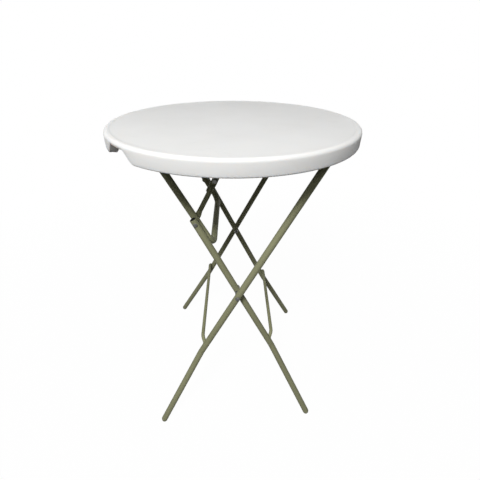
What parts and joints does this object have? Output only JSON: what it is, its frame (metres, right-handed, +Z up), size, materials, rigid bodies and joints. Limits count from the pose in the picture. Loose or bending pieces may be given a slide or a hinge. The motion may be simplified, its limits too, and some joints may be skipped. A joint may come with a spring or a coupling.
{
  "type": "folding bar-height table",
  "caption": "Round white moulded table top on two crossed, splayed tubular steel leg frames that fold flat under the top with a locking link and stays.",
  "frame": {"origin": "on the floor, under the centre of the round top", "axes": "+X to the right as the picture shows it, towards the outer frame's hinge; +Y away from the camera, along the hinge tubes; +Z up"},
  "size_m": [0.8, 0.8, 1.1],
  "materials": {
    "white_plastic": "fine-grained moulded plastic, satin",
    "olive_paint": "olive-grey powder coat on steel tube, semi-matt",
    "olive_plug": "olive-grey moulded plastic, matt",
    "zinc_steel": "zinc-plated steel, satin",
    "grey_nylon": "grey nylon, matt"
  },
  "bodies": {
    "tabletop": {"table_top": "white_plastic", "outer_hinge_saddle_front": "zinc_steel", "outer_hinge_saddle_rear": "zinc_steel", "link_hinge_saddle_front": "zinc_steel", "link_hinge_saddle_rear": "zinc_steel", "stay_bracket_front": "zinc_steel", "stay_bracket_rear": "zinc_steel", "stay_bracket_pin_front": "zinc_steel", "stay_bracket_pin_rear": "zinc_steel", "bracket_screw_1": "zinc_steel", "bracket_screw_2": "zinc_steel", "bracket_screw_3": "zinc_steel", "bracket_screw_4": "zinc_steel", "bracket_screw_5": "zinc_steel", "bracket_screw_6": "zinc_steel", "bracket_screw_7": "zinc_steel", "bracket_screw_8": "zinc_steel", "bracket_screw_9": "zinc_steel", "bracket_screw_10": "zinc_steel", "bracket_screw_11": "zinc_steel", "bracket_screw_12": "zinc_steel"},
    "outer_frame": {"outer_leg_front": "olive_paint", "outer_leg_rear": "olive_paint", "outer_hinge_tube": "olive_paint", "outer_cross_rod": "olive_paint", "outer_foot_plug_front": "olive_plug", "outer_foot_plug_rear": "olive_plug", "crossing_bolt_front": "zinc_steel", "crossing_bolt_rear": "zinc_steel", "crossing_spacer_front": "grey_nylon", "crossing_spacer_rear": "grey_nylon", "crossing_nut_front": "zinc_steel", "crossing_nut_rear": "zinc_steel"},
    "inner_frame": {"inner_leg_front": "olive_paint", "inner_leg_rear": "olive_paint", "inner_cross_rod": "olive_paint", "inner_foot_plug_front": "olive_plug", "inner_foot_plug_rear": "olive_plug", "leg_pivot_rivet_front": "zinc_steel", "leg_pivot_rivet_rear": "zinc_steel"},
    "link_frame": {"locking_link": "olive_paint", "link_hinge_tube": "olive_paint", "link_pivot_pin_front": "zinc_steel", "link_pivot_pin_rear": "zinc_steel", "leg_pivot_washer_front": "grey_nylon", "leg_pivot_washer_rear": "grey_nylon", "stay_pivot_washer_front": "grey_nylon", "stay_pivot_washer_rear": "grey_nylon"},
    "upper_stays": {"upper_stay_front": "olive_paint", "upper_stay_rear": "olive_paint", "elbow_rivet_front": "zinc_steel", "elbow_rivet_rear": "zinc_steel"},
    "lower_stays": {"lower_stay_front": "olive_paint", "lower_stay_rear": "olive_paint", "stay_pivot_rivet_front": "zinc_steel", "stay_pivot_rivet_rear": "zinc_steel"}
  },
  "joints": [
    {"name": "outer_fold", "type": "hinge", "parent": "tabletop", "child": "outer_frame", "pos_m": [0.2635, 0, 1.0425], "axis": [0, 1, 0], "range_deg": [0, 62.5]},
    {"name": "inner_fold", "type": "hinge", "parent": "outer_frame", "child": "inner_frame", "pos_m": [0.0163, 0, 0.56243], "axis": [0, 1, 0], "range_deg": [0, 53.7]},
    {"name": "link_fold", "type": "hinge", "parent": "tabletop", "child": "link_frame", "pos_m": [-0.2345, 0, 1.0425], "axis": [0, 1, 0], "range_deg": [-61.1, 0]},
    {"name": "upper_stay_fold", "type": "hinge", "parent": "tabletop", "child": "upper_stays", "pos_m": [-0.00595, 0, 1.0425], "axis": [0, 1, 0], "range_deg": [0, 63.5]},
    {"name": "lower_stay_fold", "type": "hinge", "parent": "upper_stays", "child": "lower_stays", "pos_m": [-0.05546, 0, 0.94249], "axis": [0, 1, 0], "range_deg": [-179.4, 0]}
  ],
  "couplings": [
    {"joint": "inner_fold", "follows": "outer_fold", "ratio": 0.85817},
    {"joint": "link_fold", "follows": "outer_fold", "ratio": -0.97647},
    {"joint": "upper_stay_fold", "follows": "outer_fold", "ratio": 1.0145},
    {"joint": "lower_stay_fold", "follows": "outer_fold", "ratio": -2.8683}
  ]
}
